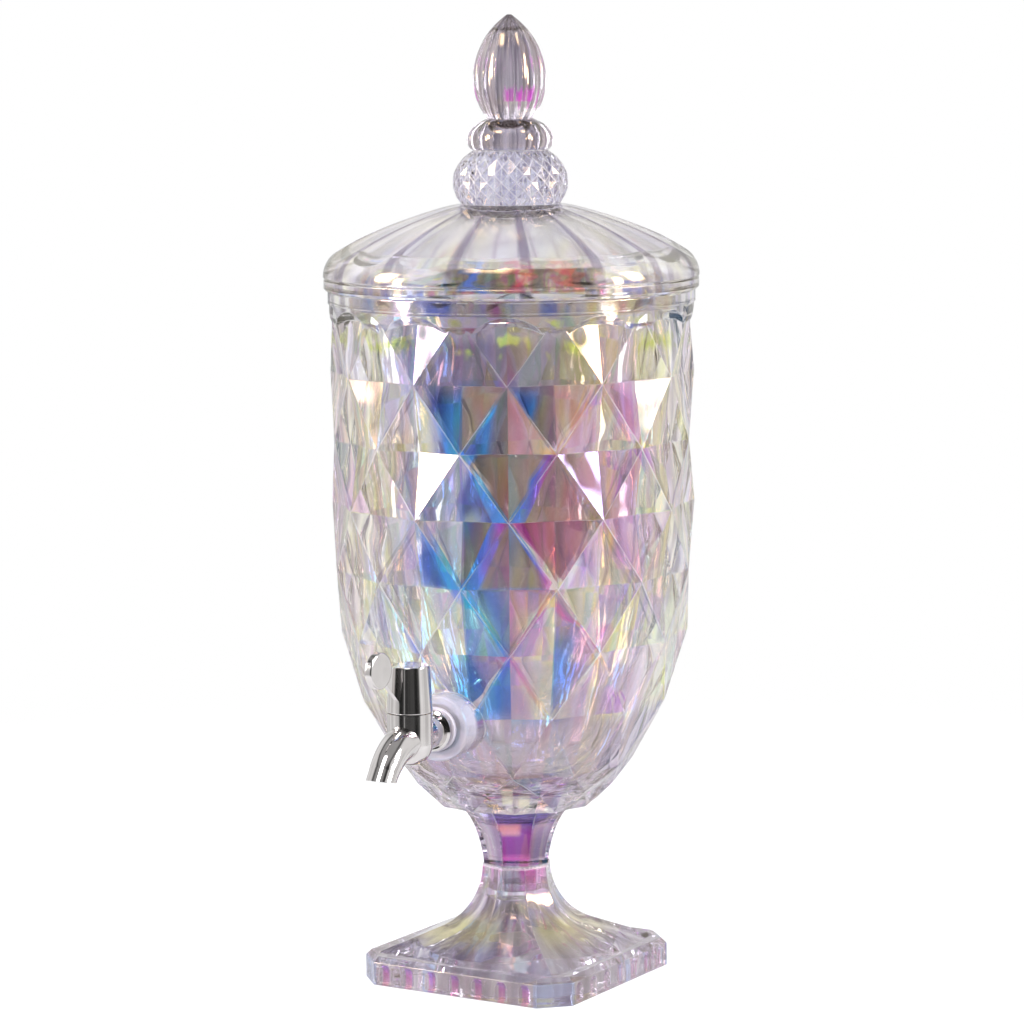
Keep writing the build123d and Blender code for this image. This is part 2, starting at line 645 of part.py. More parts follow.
outer_gasket.part.label = "outer_gasket"
export_step(outer_gasket.part, "parts/outer_gasket.step")

with BuildPart() as inner_gasket:
    with BuildSketch(TAP_PLANE.offset(NUT_FACE)):
        Circle(INNER_GASKET_RADIUS)
        Circle(SHANK_RADIUS + SHANK_CLEARANCE, mode=Mode.SUBTRACT)
    extrude(amount=GASKET_THICKNESS)

inner_gasket.part.label = "inner_gasket"
export_step(inner_gasket.part, "parts/inner_gasket.step")

with BuildPart() as clamp_nut:
    with BuildSketch(TAP_PLANE.offset(NUT_FACE - NUT_THICKNESS)):
        RegularPolygon(NUT_FLATS / 2, 6, major_radius=False)
        Circle(SHANK_RADIUS + SHANK_CLEARANCE / 2, mode=Mode.SUBTRACT)
    extrude(amount=NUT_THICKNESS)
    chamfer(clamp_nut.faces().sort_by(Axis.Y)[-1].outer_wire().edges(), NUT_CHAMFER)

clamp_nut.part.label = "clamp_nut"
export_step(clamp_nut.part, "parts/clamp_nut.step")

# Valve plug and its sealing rings
RING_TRACK = PLUG_RADIUS - RING_SECTION
RING_HEIGHTS = [TAP_HEIGHT - RING_OFFSET, TAP_HEIGHT + RING_OFFSET]

with BuildPart() as valve_plug:
    with BuildSketch(BARREL_PLANE.offset(PLUG_END)):
        Circle(PLUG_RADIUS)
    extrude(amount=BARREL_TOP - PLUG_END)
    with BuildSketch(BARREL_PLANE.offset(TAP_HEIGHT + SNAP_RISE)):
        Circle(PLUG_RADIUS + SNAP_HEIGHT)
    extrude(amount=SNAP_WIDTH)
    with BuildSketch(BARREL_PLANE.offset(BARREL_TOP)):
        Rectangle(STEM_SQUARE, STEM_SQUARE)
    extrude(amount=STEM_TOP - BARREL_TOP)
    with BuildSketch(Plane.YZ):
        with Locations((-BARREL_REACH, TAP_HEIGHT)):
            Circle(PASSAGE_RADIUS)
    extrude(amount=PLUG_RADIUS, both=True, mode=Mode.SUBTRACT)
    for ring_height in RING_HEIGHTS:
        with BuildSketch(BARREL_PLANE.offset(ring_height - RING_SECTION - GROOVE_GAP)):
            Circle(PLUG_RADIUS + SNAP_HEIGHT)
            Circle(RING_TRACK - RING_SECTION - GROOVE_GAP, mode=Mode.SUBTRACT)
        extrude(amount=2 * (RING_SECTION + GROOVE_GAP), mode=Mode.SUBTRACT)
    with BuildSketch(BARREL_PLANE.offset(STEM_TOP)):
        Circle(SCREW_RADIUS + GROOVE_GAP)
    extrude(amount=-SCREW_LENGTH, mode=Mode.SUBTRACT)

valve_plug.part.label = "valve_plug"
export_step(valve_plug.part, "parts/valve_plug.step")

with BuildPart() as plug_o_rings:
    for ring_height in RING_HEIGHTS:
        with BuildSketch(BARREL_SIDE):
            with Locations((RING_TRACK, ring_height)):
                Circle(RING_SECTION)
        revolve(axis=BARREL_AXIS)

plug_o_rings.part.label = "plug_o_rings"
export_step(plug_o_rings.part, "parts/plug_o_rings.step")

# Handle with its lever
SCREW_SEAT = STEM_TOP + HANDLE_WEB
CAP_SEAT = HANDLE_TOP - CAP_THICKNESS
LEVER_PLANE = BARREL_SIDE.rotated((0, 0, LEVER_TURN))
LEVER_MIDDLE = HANDLE_FOOT + LEVER_RISE

with BuildPart() as paddle:
    with BuildSketch(LEVER_PLANE):
        with Locations((-LEVER_CENTRE, LEVER_MIDDLE)):
            Circle(LEVER_RADIUS)
    extrude(amount=LEVER_THICKNESS / 2, both=True)
    fillet(paddle.edges().filter_by(GeomType.CIRCLE), LEVER_EDGE)
    with BuildSketch(LEVER_PLANE):
        Polygon(
            (0, HANDLE_FOOT + LEVER_ROOT_LOW),
            (-HANDLE_FOOT_RADIUS, HANDLE_FOOT + LEVER_ROOT_LOW),
            (-LEVER_CENTRE + LEVER_RADIUS / 2, LEVER_MIDDLE - LEVER_RADIUS * 0.8),
            (-LEVER_CENTRE, LEVER_MIDDLE),
            (0, LEVER_MIDDLE - LEVER_EDGE),
            align=None,
        )
    extrude(amount=LEVER_THICKNESS / 2 - LEVER_EDGE, both=True)

with BuildPart() as tap_handle:
    with BuildSketch(BARREL_PLANE.offset(HANDLE_FOOT)):
        Circle(HANDLE_FOOT_RADIUS)
    with BuildSketch(BARREL_PLANE.offset(HANDLE_TOP)):
        Circle(HANDLE_TOP_RADIUS)
    loft()
    fillet(tap_handle.edges().filter_by(GeomType.CIRCLE), HANDLE_ROUND)
    add(paddle.part)
    with BuildSketch(BARREL_PLANE.offset(HANDLE_FOOT)):
        Rectangle(STEM_SQUARE + 2 * STEM_GAP, STEM_SQUARE + 2 * STEM_GAP)
    extrude(amount=STEM_TOP + STEM_GAP - HANDLE_FOOT, mode=Mode.SUBTRACT)
    with BuildSketch(BARREL_PLANE.offset(STEM_TOP)):
        Circle(SCREW_RADIUS + SCREW_GAP)
    extrude(amount=HANDLE_WEB, mode=Mode.SUBTRACT)
    with BuildSketch(BARREL_PLANE.offset(SCREW_SEAT)):
        Circle(SCREW_HEAD_RADIUS + SCREW_GAP)
    extrude(amount=CAP_SEAT - SCREW_SEAT, mode=Mode.SUBTRACT)
    with BuildSketch(BARREL_PLANE.offset(CAP_SEAT)):
        Circle(CAP_RADIUS + CAP_GAP)
    extrude(amount=LEVER_MIDDLE + LEVER_RADIUS - CAP_SEAT, mode=Mode.SUBTRACT)

tap_handle.part.label = "tap_handle"
export_step(tap_handle.part, "parts/tap_handle.step")

with BuildPart() as handle_cap:
    with BuildSketch(BARREL_PLANE.offset(CAP_SEAT)):
        Circle(CAP_RADIUS)
    extrude(amount=CAP_THICKNESS)
    chamfer(handle_cap.faces().sort_by(Axis.Z)[-1].edges(), CAP_CHAMFER)

handle_cap.part.label = "handle_cap"
export_step(handle_cap.part, "parts/handle_cap.step")

with BuildPart() as handle_screw:
    with BuildSketch(BARREL_PLANE.offset(SCREW_SEAT)):
        Circle(SCREW_HEAD_RADIUS)
    extrude(amount=SCREW_HEAD_HEIGHT)
    with BuildSketch(BARREL_PLANE.offset(SCREW_SEAT)):
        Circle(SCREW_RADIUS)
    extrude(amount=-SCREW_LENGTH)

handle_screw.part.label = "handle_screw"
export_step(handle_screw.part, "parts/handle_screw.step")
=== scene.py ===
import bpy
import math
from mathutils import Matrix, Vector

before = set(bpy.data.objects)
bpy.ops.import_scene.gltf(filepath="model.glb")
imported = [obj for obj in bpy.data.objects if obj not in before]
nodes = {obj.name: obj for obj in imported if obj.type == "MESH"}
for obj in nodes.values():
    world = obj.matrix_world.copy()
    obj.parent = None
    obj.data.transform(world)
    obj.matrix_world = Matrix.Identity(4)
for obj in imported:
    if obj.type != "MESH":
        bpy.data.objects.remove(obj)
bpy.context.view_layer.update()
scene = bpy.context.scene
scene.view_settings.view_transform = "Standard"

# Light needs many turns inside cut glass
scene.cycles.max_bounces = 24
scene.cycles.glossy_bounces = 12
scene.cycles.transmission_bounces = 20

# Camera at the photograph's place: metres, degrees, and millimetres for the lens
CAMERA_AZIMUTH = 24.0
CAMERA_DISTANCE = 2.069
CAMERA_HEIGHT = 0.526
CAMERA_PITCH = 7.35
CAMERA_YAW = 0.02
CAMERA_ROLL = -0.5
CAMERA_LENS = 132.75
SENSOR_WIDTH = 36.0

azimuth = math.radians(CAMERA_AZIMUTH)
camera_data = bpy.data.cameras.new("camera")
camera_data.sensor_width = SENSOR_WIDTH
camera_data.lens = CAMERA_LENS
camera = bpy.data.objects.new("camera", camera_data)
scene.collection.objects.link(camera)
camera_place = Vector((math.sin(azimuth), -math.cos(azimuth), 0)) * CAMERA_DISTANCE
camera_turn = (
    Matrix.Rotation(azimuth + math.radians(CAMERA_YAW), 4, "Z")
    @ Matrix.Rotation(math.radians(90 - CAMERA_PITCH), 4, "X")
    @ Matrix.Rotation(math.radians(CAMERA_ROLL), 4, "Z")
)
camera.matrix_world = Matrix.Translation(camera_place + Vector((0, 0, CAMERA_HEIGHT))) @ camera_turn
scene.camera = camera

FULL_TURN = 360.0
DEGREES = 180 / math.pi


class Graph:
    """Adds nodes to one tree. A value is a number, a tuple or an output socket."""

    def __init__(self, tree):
        self.tree = tree

    def add(self, kind, **settings):
        node = self.tree.nodes.new(kind)
        for name, value in settings.items():
            setattr(node, name, value)
        return node

    def feed(self, socket, value):
        if isinstance(value, bpy.types.NodeSocket):
            self.tree.links.new(value, socket)
        else:
            socket.default_value = value

    def math(self, operation, *values, clamp=False):
        node = self.add("ShaderNodeMath", operation=operation, use_clamp=clamp)
        for socket, value in zip(node.inputs, values):
            self.feed(socket, value)
        return node.outputs[0]

    def chain(self, operation, values):
        total = values[0]
        for value in values[1:]:
            total = self.math(operation, total, value)
        return total

    def times(self, *values):
        return self.chain("MULTIPLY", values)

    def plus(self, *values):
        return self.chain("ADD", values)

    def most(self, *values):
        return self.chain("MAXIMUM", values)

    def minus(self, a, b):
        return self.math("SUBTRACT", a, b)

    def over(self, a, b):
        return self.math("DIVIDE", a, b)

    def size(self, value):
        return self.math("ABSOLUTE", value)

    def likely(self, vector):
        """1 or 0, with an even chance of each."""
        return self.math("GREATER_THAN", self.chance(vector), 0.5)

    def length(self, a, b):
        return self.math("SQRT", self.plus(self.times(a, a), self.times(b, b)))

    def bearing(self, x, y):
        """Direction in degrees from -Y, the tap's side."""
        return self.times(self.math("ARCTAN2", x, self.times(y, -1.0)), DEGREES)

    def place(self):
        return self.add("ShaderNodeTexCoord").outputs["Object"]

    def split(self, vector):
        node = self.add("ShaderNodeSeparateXYZ")
        self.feed(node.inputs[0], vector)
        return node.outputs

    def join(self, x, y, z):
        node = self.add("ShaderNodeCombineXYZ")
        for socket, value in zip(node.inputs, (x, y, z)):
            self.feed(socket, value)
        return node.outputs[0]

    def dot(self, a, b):
        node = self.add("ShaderNodeVectorMath", operation="DOT_PRODUCT")
        self.feed(node.inputs[0], a)
        self.feed(node.inputs[1], b)
        return node.outputs["Value"]

    def noise(self, vector, scale, detail, roughness=0.5):
        node = self.add("ShaderNodeTexNoise")
        self.feed(node.inputs["Vector"], vector)
        node.inputs["Scale"].default_value = scale
        node.inputs["Detail"].default_value = detail
        node.inputs["Roughness"].default_value = roughness
        return node.outputs["Fac"]

    def drawn_noise(self, turn, length, grain, seed, detail):
        """Noise drawn out by its grain: how much of it there is to a degree and to a metre."""
        per_degree, per_metre = grain
        place = self.join(self.times(turn, per_degree), self.times(length, per_metre), seed)
        return self.noise(place, 1.0, detail)

    def chance(self, vector):
        node = self.add("ShaderNodeTexWhiteNoise", noise_dimensions="3D")
        self.feed(node.inputs["Vector"], vector)
        return node.outputs["Value"]

    def pick(self, choice, yes, no):
        node = self.add("ShaderNodeMix", data_type="FLOAT")
        self.feed(node.inputs[0], choice)
        self.feed(node.inputs[2], no)
        self.feed(node.inputs[3], yes)
        return node.outputs[0]

    def spread(self, value, low, high, to_low=0.0, to_high=1.0):
        """Smooth step from to_low at low to to_high at high."""
        node = self.add("ShaderNodeMapRange", interpolation_type="SMOOTHSTEP")
        self.feed(node.inputs["Value"], value)
        self.feed(node.inputs["From Min"], low)
        self.feed(node.inputs["From Max"], high)
        self.feed(node.inputs["To Min"], to_low)
        self.feed(node.inputs["To Max"], to_high)
        return node.outputs[0]

    def window(self, value, start, full, fade, end):
        """Rises from start to full and falls from fade to end."""
        return self.times(self.spread(value, start, full), self.spread(value, end, fade))

    def wave(self, turn, middle, period):
        """Cosine round the axis, 1 at the middle."""
        return self.math("COSINE", self.times(self.minus(turn, middle), 2 * math.pi / period))

    def ramp(self, value, stops):
        node = self.add("ShaderNodeValToRGB")
        elements = node.color_ramp.elements
        while len(elements) < len(stops):
            elements.new(1.0)
        for element, (position, colour) in zip(elements, stops):
            element.position = position
            element.color = (*colour, 1.0)
        self.feed(node.inputs[0], value)
        return node.outputs[0]

    def mix(self, share, a, b):
        node = self.add("ShaderNodeMix", data_type="RGBA")
        self.feed(node.inputs[0], share)
        for socket, value in ((node.inputs[6], a), (node.inputs[7], b)):
            if isinstance(value, tuple):
                value = (*value, 1.0)
            self.feed(socket, value)
        return node.outputs[2]

    def bump(self, height, distance):
        node = self.add("ShaderNodeBump")
        self.feed(node.inputs["Height"], height)
        node.inputs["Strength"].default_value = 1.0
        node.inputs["Distance"].default_value = distance
        return node.outputs[0]


def material(name):
    made = bpy.data.materials.new(name)
    made.use_nodes = True
    return made, Graph(made.node_tree), made.node_tree.nodes["Principled BSDF"]


def dress(made, *names):
    for name in names:
        nodes[name].data.materials.clear()
        nodes[name].data.materials.append(made)


# Glass with a thin rainbow coating: the film in nanometres, lengths in metres
GLASS_IOR = 1.47
FILM_IOR = 1.7
PLAIN_FILM = 130.0
RIDGE_ROUND = 0.0008
# Frost is paler; on the ridges it is partly the rounded edge's scatter and partly a painted highlight
FROST_AND_HIGHLIGHT_WHITE = (0.94, 0.92, 0.97)
RIDGE_BEND = (0.992, 0.972)  # how alike the rounded and the flat normal are, beside a ridge and on it
# Share of frost on the ridges, partly a painted highlight along them
RIDGE_FROST_HIGHLIGHT = 0.6
BEVEL_SAMPLES = 4
WAVE_DETAIL = 1.0
WAVE_ROUGHNESS = 0.45
CALM_FADE = 0.04
CALM_SHARE = 0.45
CLEAR_ROUGHNESS = 0.02
FROST_ROUGHNESS = 0.35
FROST_CLEARNESS = 0.45
FROST_WHITE = 0.8


def glass(name, wave_scale=0.0, wave_depth=0.0, calm_below=0.0):
    """Clear glass with slightly rounded ridges and wavy faces; returns where the ridges are too."""
    made, graph, shader = material(name)
    shader.inputs["IOR"].default_value = GLASS_IOR
    shader.inputs["Thin Film IOR"].default_value = FILM_IOR
    shader.inputs["Thin Film Thickness"].default_value = PLAIN_FILM
    rounded = graph.add("ShaderNodeBevel", samples=BEVEL_SAMPLES)
    rounded.inputs["Radius"].default_value = RIDGE_ROUND
    if wave_depth:
        place = graph.place()
        swell = graph.noise(place, wave_scale, WAVE_DETAIL, WAVE_ROUGHNESS)
        calm = graph.spread(graph.split(place)[2], calm_below - CALM_FADE, calm_below, CALM_SHARE, 1.0)
        graph.feed(rounded.inputs["Normal"], graph.bump(graph.times(swell, calm), wave_depth))
    graph.feed(shader.inputs["Normal"], rounded.outputs[0])
    flat = graph.add("ShaderNodeNewGeometry").outputs["Normal"]
    ridge = graph.spread(graph.size(graph.dot(rounded.outputs[0], flat)), *RIDGE_BEND)
    return made, graph, shader, ridge


def finish_glass(graph, shader, tint, frost, white=FROST_WHITE):
    """A frosted place is paler, rougher and less clear."""
    # Frost pales the colour; along the ridges that paleness is partly a painted highlight
    graph.feed(shader.inputs["Base Color"], graph.mix(graph.times(frost, white), tint, FROST_AND_HIGHLIGHT_WHITE))
    graph.feed(shader.inputs["Transmission Weight"], graph.spread(frost, 0.0, 1.0, 1.0, FROST_CLEARNESS))
    graph.feed(shader.inputs["Roughness"], graph.spread(frost, 0.0, 1.0, CLEAR_ROUGHNESS, FROST_ROUGHNESS))


def round_the_axis(graph):
    """Turn in degrees from the tap's side, and height in metres."""
    x, y, z = graph.split(graph.place())
    return graph.bearing(x, y), z


def reach_from_axis(graph):
    x, y, _ = graph.split(graph.place())
    return graph.length(x, y)


# Bowl: the coating's colours run round the wall three times, painted strongest on the side facing the
# camera, where the film's angle-dependent colours show
SECTOR = 120.0
SECTOR_MIDDLE = 24.0
PASTELS = [
    (0.00, (0.58, 0.52, 0.78)),
    (0.15, (0.96, 0.95, 0.97)),
    (0.30, (0.88, 0.86, 0.42)),
    (0.42, (0.97, 0.96, 0.94)),
    (0.55, (0.92, 0.68, 0.60)),
    (0.65, (0.97, 0.95, 0.98)),
    (0.77, (0.58, 0.82, 0.62)),
    (0.88, (0.88, 0.60, 0.86)),
    (1.00, (0.54, 0.50, 0.68)),
]
BOWL_COLOURS = [
    (0.00, (0.80, 0.82, 0.54)),
    (0.08, (0.87, 0.81, 0.68)),
    (0.17, (0.76, 0.72, 0.86)),
    (0.27, (0.66, 0.68, 0.82)),
    (0.33, (0.22, 0.32, 0.64)),
    (0.36, (0.03, 0.08, 0.42)),
    (0.41, (0.02, 0.24, 0.68)),
    (0.45, (0.16, 0.18, 0.28)),
    (0.49, (0.26, 0.24, 0.18)),
    (0.53, (0.27, 0.17, 0.20)),
    (0.58, (0.32, 0.12, 0.16)),
    (0.62, (0.50, 0.18, 0.28)),
    (0.67, (0.54, 0.42, 0.30)),
    (0.74, (0.72, 0.44, 0.60)),
    (0.82, (0.68, 0.36, 0.74)),
    (0.90, (0.80, 0.66, 0.86)),
    (1.00, (0.80, 0.82, 0.54)),
]
LOW_COLOURS = [
    (0.00, (0.84, 0.85, 0.60)),
    (0.17, (0.74, 0.82, 0.70)),
    (0.31, (0.78, 0.78, 0.82)),
    (0.37, (0.46, 0.62, 0.74)),
    (0.42, (0.08, 0.42, 0.72)),
    (0.47, (0.02, 0.22, 0.74)),
    (0.52, (0.10, 0.20, 0.54)),
    (0.56, (0.34, 0.26, 0.54)),
    (0.62, (0.68, 0.42, 0.60)),
    (0.68, (0.82, 0.76, 0.50)),
    (0.75, (0.74, 0.60, 0.74)),
    (0.85, (0.80, 0.70, 0.86)),
    (1.00, (0.84, 0.85, 0.60)),
]
TOP_COLOURS = [
    (0.00, (0.90, 0.92, 0.80)),
    (0.14, (0.80, 0.76, 0.90)),
    (0.26, (0.48, 0.48, 0.72)),
    (0.34, (0.28, 0.22, 0.36)),
    (0.56, (0.30, 0.25, 0.31)),
    (0.63, (0.46, 0.43, 0.26)),
    (0.72, (0.66, 0.56, 0.48)),
    (0.84, (0.80, 0.70, 0.84)),
    (1.00, (0.90, 0.92, 0.80)),
]
# Colours of the painted glints beside the ridges
GLINT_COLOURS = [
    (0.00, (0.80, 0.86, 0.22)),
    (0.17, (0.66, 0.64, 0.94)),
    (0.30, (0.46, 0.54, 0.94)),
    (0.37, (0.04, 0.30, 0.96)),
    (0.42, (0.01, 0.50, 0.92)),
    (0.50, (0.06, 0.18, 0.84)),
    (0.55, (0.46, 0.08, 0.44)),
    (0.63, (0.60, 0.09, 0.42)),
    (0.71, (0.94, 0.72, 0.20)),
    (0.82, (0.60, 0.22, 0.86)),
    (1.00, (0.80, 0.86, 0.22)),
]
NECK_COLOURS = [
    (0.00, (0.56, 0.30, 0.54)),
    (0.10, (0.30, 0.004, 0.22)),
    (0.17, (0.80, 0.03, 0.44)),
    (0.24, (0.22, 0.003, 0.18)),
    (0.54, (0.22, 0.006, 0.24)),
    (0.74, (0.14, 0.05, 0.34)),
    (0.90, (0.07, 0.05, 0.32)),
    (1.00, (0.42, 0.36, 0.62)),
]
# Painted dark refraction lines and white glints beside the ridges
DARK_SLIVER = (0.30, 0.27, 0.35)
WHITE_SLIVER = (0.98, 0.97, 0.95)
SPECK_GREEN = (0.74, 0.84, 0.16)
COLLAR_PALE = (0.82, 0.82, 0.86)
LOW_LILAC = (0.58, 0.51, 0.62)
# Painted shade in a ring of dark facets low on the bowl
SHADE_PLUM = (0.24, 0.17, 0.27)
# Painted yellow glints low on the bowl
SPARK_YELLOW = (1.0, 0.94, 0.48)
NECK_SIDES = (0.30, 0.15, 0.27)
NECK_ROSE = (0.98, 0.22, 0.30)
SEAM_PINK = (0.92, 0.74, 0.90)
BOSS_LILAC = (0.74, 0.70, 0.82)

# The bowl's lattice of diamonds, in degrees and metres
COLUMN_STEP = 15.0
COLUMN_START = -7.5
ROW_PITCH = 0.036
ROW_START = 0.4098
STREAK_SLANT = 1.6 * COLUMN_STEP / ROW_PITCH
MOOD_SEED = 10.0

# Shares of the colour run by which a streak and a facet shift it
STREAK_SHIFT = 0.38
FACET_SHIFT = 0.24
WHOLE_RUNS = 3.0

# Grain of the noise round the bowl: to a degree and to a metre
STREAK_GRAIN = (0.06, 12.0)
SECOND_GRAIN = (0.10, 16.0)
SPECK_GRAIN = (0.16, 60.0)
CLOUD_GRAIN = (0.06, 90.0)

# Slivers beside the ridges, painted glints and painted dark refraction lines: seed of the draws, and
# greatest width as a share of a diamond's side
COLOURED_SLIVERS = [(20.0, 0.20), (50.0, 0.20)]
DARK_SLIVERS = (80.0, 0.09)
WHITE_SLIVERS = (110.0, 0.13)
SLIVER_LEAST = 0.25
SLIVER_TIP = 0.15

# Heights at which the bowl's colours change
COATED = (0.128, 0.168)
LOW_PART = (0.232, 0.228)
TOP_PART = (0.325, 0.345)
SLIVERS_BELOW = (0.130, 0.160)
SLIVERS_ABOVE = (0.350, 0.320)
SPECKS = (0.350, 0.358)
SPECKS_END = (0.374, 0.371)
COLLAR = (0.357, 0.366)
LILAC_PART = (0.162, 0.150)
# Painted shade in a ring of dark facets: its heights, and the degrees from one dark facet to the next
SHADES = (0.101, 0.103, 0.109, 0.111)
SHADE_STEP = 40.0
HAZE_PART = (0.250, 0.190)
HAZE = (0.05, 0.08)
FILM = (112.0, 215.0)
BOWL_WAVES = (34.0, 0.0014, 0.25)

# Painted yellow glints low in the bowl: direction from the sector's middle, lower and upper end
SPARKS = [(-5.0, 0.104, 0.117), (5.0, 0.101, 0.113)]
SPARK_FADE = 0.003
SPARK_FROST = 0.5

# Neck, boss and the seam between bowl and pedestal
WAIST = 0.062
NECK_HEIGHT = 0.0365
SEAM = (0.0018, 0.0006)
SEAM_FROST = 0.6
TAP_HEIGHT = 0.1555
BOSS_RADIUS = 0.0178
BOSS_FADE = 0.001
BOSS_ROOT = (-0.086, -0.092)
BOSS_FROST = 0.56


def seam_at(graph, height):
    return graph.spread(graph.size(graph.minus(height, WAIST)), *SEAM)


def dress_bowl():
    made, graph, shader, ridge = glass("bowl_glass", *BOWL_WAVES)
    turn, height = round_the_axis(graph)

    # Which diamond a point is in, and which quarter of it
    column = graph.over(graph.minus(turn, COLUMN_START), COLUMN_STEP)
    row = graph.over(graph.minus(ROW_START, height), ROW_PITCH)
    falling = graph.times(graph.minus(column, row), 0.5)
    rising = graph.times(graph.plus(column, row), 0.5)
    across = graph.math("FRACT", falling)
    down = graph.math("FRACT", rising)
    left = graph.math("LESS_THAN", graph.plus(across, down), 1.0)
    lower = graph.math("GREATER_THAN", down, across)
    quarter = graph.plus(left, graph.times(lower, 2.0))
    first = graph.math("FLOOR", falling)
    other = graph.math("FLOOR", rising)
    facet = graph.chance(graph.join(first, other, quarter))
    mood = graph.chance(graph.join(first, other, graph.plus(quarter, MOOD_SEED)))

    # Streaks inside a facet slant with it
    slant = graph.times(graph.minus(facet, 0.5), STREAK_SLANT)
    slanted = graph.plus(turn, graph.times(slant, height))
    streak = graph.drawn_noise(slanted, height, STREAK_GRAIN, facet, 1.0)
    second = graph.drawn_noise(slanted, height, SECOND_GRAIN, mood, 1.0)

    # Strong colours on the side facing the camera, a painted stand-in for the film's angle-dependent
    # colours; pastels elsewhere
    top = graph.spread(height, *TOP_PART)
    shift = graph.times(graph.minus(streak, 0.5), STREAK_SHIFT)
    shift = graph.plus(shift, graph.times(graph.minus(facet, 0.5), FACET_SHIFT))
    shift = graph.times(shift, graph.spread(top, 0.0, 1.0, 1.0, 0.5))
    phase = graph.over(graph.minus(turn, SECTOR_MIDDLE - SECTOR / 2), SECTOR)
    phase = graph.math("FRACT", graph.plus(phase, shift, WHOLE_RUNS))
    sector = graph.wave(turn, SECTOR_MIDDLE, SECTOR)
    weakest = graph.spread(graph.spread(sector, -0.2, 0.5), 0.0, 1.0, 0.20, 0.80)
    camera_side = graph.spread(graph.wave(turn, SECTOR_MIDDLE, FULL_TURN), 0.0, 0.5, 0.22, 1.0)
    strength = graph.times(graph.spread(height, *COATED), camera_side)
    strength = graph.times(strength, graph.spread(mood, 0.10, 0.60, weakest, 1.0))
    strong = graph.ramp(phase, BOWL_COLOURS)
    strong = graph.mix(graph.spread(height, *LOW_PART), strong, graph.ramp(phase, LOW_COLOURS))
    strong = graph.mix(top, strong, graph.ramp(phase, TOP_COLOURS))
    key = graph.plus(graph.times(mood, 0.8), graph.times(graph.minus(second, 0.3), 0.5))
    tint = graph.mix(strength, graph.ramp(key, PASTELS), strong)

    def sliver(seed, widest):
        """A tapering strip along one side of each diamond; chance picks the side and the narrow end."""
        falls = graph.likely(graph.join(first, other, seed))
        from_ridge = graph.pick(falls, across, down)
        along = graph.pick(falls, down, across)
        far_side = graph.likely(graph.join(first, other, seed + 5))
        from_ridge = graph.pick(far_side, graph.minus(1.0, from_ridge), from_ridge)
        narrows = graph.likely(graph.join(first, other, seed + 10))
        along = graph.pick(narrows, graph.minus(1.0, along), along)
        width = graph.spread(streak, 0.38, 0.60, widest * SLIVER_LEAST, widest)
        width = graph.times(width, graph.spread(along, 0.0, 1.0, SLIVER_TIP, 1.0))
        inside = graph.minus(1.0, graph.over(from_ridge, width))
        return graph.times(graph.spread(inside, 0.0, 0.20), graph.spread(second, 0.36, 0.46))

    # Painted glints, coloured and white, and painted dark refraction lines beside the ridges; green specks
    # under the arches and a paler collar above them
    tall = graph.spread(height, *SLIVERS_ABOVE, 0.10, 0.90)
    tall = graph.times(graph.spread(height, *SLIVERS_BELOW), tall)
    coloured = graph.times(tall, camera_side)
    plain = graph.times(tall, 0.8)
    glint = graph.ramp(phase, GLINT_COLOURS)
    for seed, widest in COLOURED_SLIVERS:
        tint = graph.mix(graph.times(sliver(seed, widest), coloured), tint, glint)
    tint = graph.mix(graph.times(sliver(*DARK_SLIVERS), plain), tint, DARK_SLIVER)
    tint = graph.mix(graph.times(sliver(*WHITE_SLIVERS), plain), tint, WHITE_SLIVER)
    speck = graph.times(
        graph.spread(graph.drawn_noise(turn, height, SPECK_GRAIN, 3.0, 1.0), 0.58, 0.64),
        graph.spread(height, *SPECKS),
        graph.spread(height, *SPECKS_END, 0.0, 0.85),
    )
    tint = graph.mix(speck, tint, SPECK_GREEN)
    tint = graph.mix(graph.spread(height, *COLLAR, 0.0, 0.28), tint, COLLAR_PALE)

    # Lilac bottom, with painted shade in a ring of dark facets and painted yellow glints
    tint = graph.mix(graph.spread(height, *LILAC_PART, 0.0, 0.7), tint, LOW_LILAC)
    shade = graph.spread(graph.wave(turn, SECTOR_MIDDLE + SHADE_STEP / 2, SHADE_STEP), 0.70, 0.90, 0.0, 0.8)
    tint = graph.mix(graph.times(graph.window(height, *SHADES), shade), tint, SHADE_PLUM)
    sparks = []
    for aside, low, high in SPARKS:
        upright = graph.window(height, low, low + SPARK_FADE, high - SPARK_FADE, high)
        wide = graph.spread(graph.wave(turn, SECTOR_MIDDLE + aside, SECTOR), 0.980, 0.992)
        sparks.append(graph.times(upright, wide))
    spark = graph.most(*sparks)
    tint = graph.mix(spark, tint, SPARK_YELLOW)

    # Magenta neck with a rosy patch, and a pale seam
    rise = graph.over(graph.minus(height, WAIST), NECK_HEIGHT)
    round_neck = graph.spread(graph.wave(turn, SECTOR_MIDDLE + 4, SECTOR), -0.9, -0.2, 0.35, 1.0)
    neck = graph.times(graph.window(rise, -0.02, 0.02, 0.95, 1.02), round_neck)
    front_face = graph.most(graph.spread(sector, 0.22, 0.48), graph.spread(rise, 0.68, 0.78))
    tint = graph.mix(neck, tint, graph.mix(front_face, NECK_SIDES, graph.ramp(rise, NECK_COLOURS)))
    cloud = graph.drawn_noise(turn, height, CLOUD_GRAIN, 6.0, 2.0)
    rosy = graph.times(
        graph.window(rise, 0.50, 0.58, 0.70, 0.76),
        graph.spread(graph.wave(turn, SECTOR_MIDDLE - 10, SECTOR), 0.55, 0.85),
        graph.spread(cloud, 0.34, 0.50),
    )
    tint = graph.mix(rosy, tint, NECK_ROSE)
    seam = seam_at(graph, height)
    tint = graph.mix(seam, tint, SEAM_PINK)

    # Milky boss for the tap
    x, y, z = graph.split(graph.place())
    off_tap = graph.length(x, graph.minus(z, TAP_HEIGHT))
    boss = graph.spread(off_tap, BOSS_RADIUS + BOSS_FADE, BOSS_RADIUS)
    boss = graph.times(boss, graph.spread(y, *BOSS_ROOT))
    tint = graph.mix(boss, tint, BOSS_LILAC)
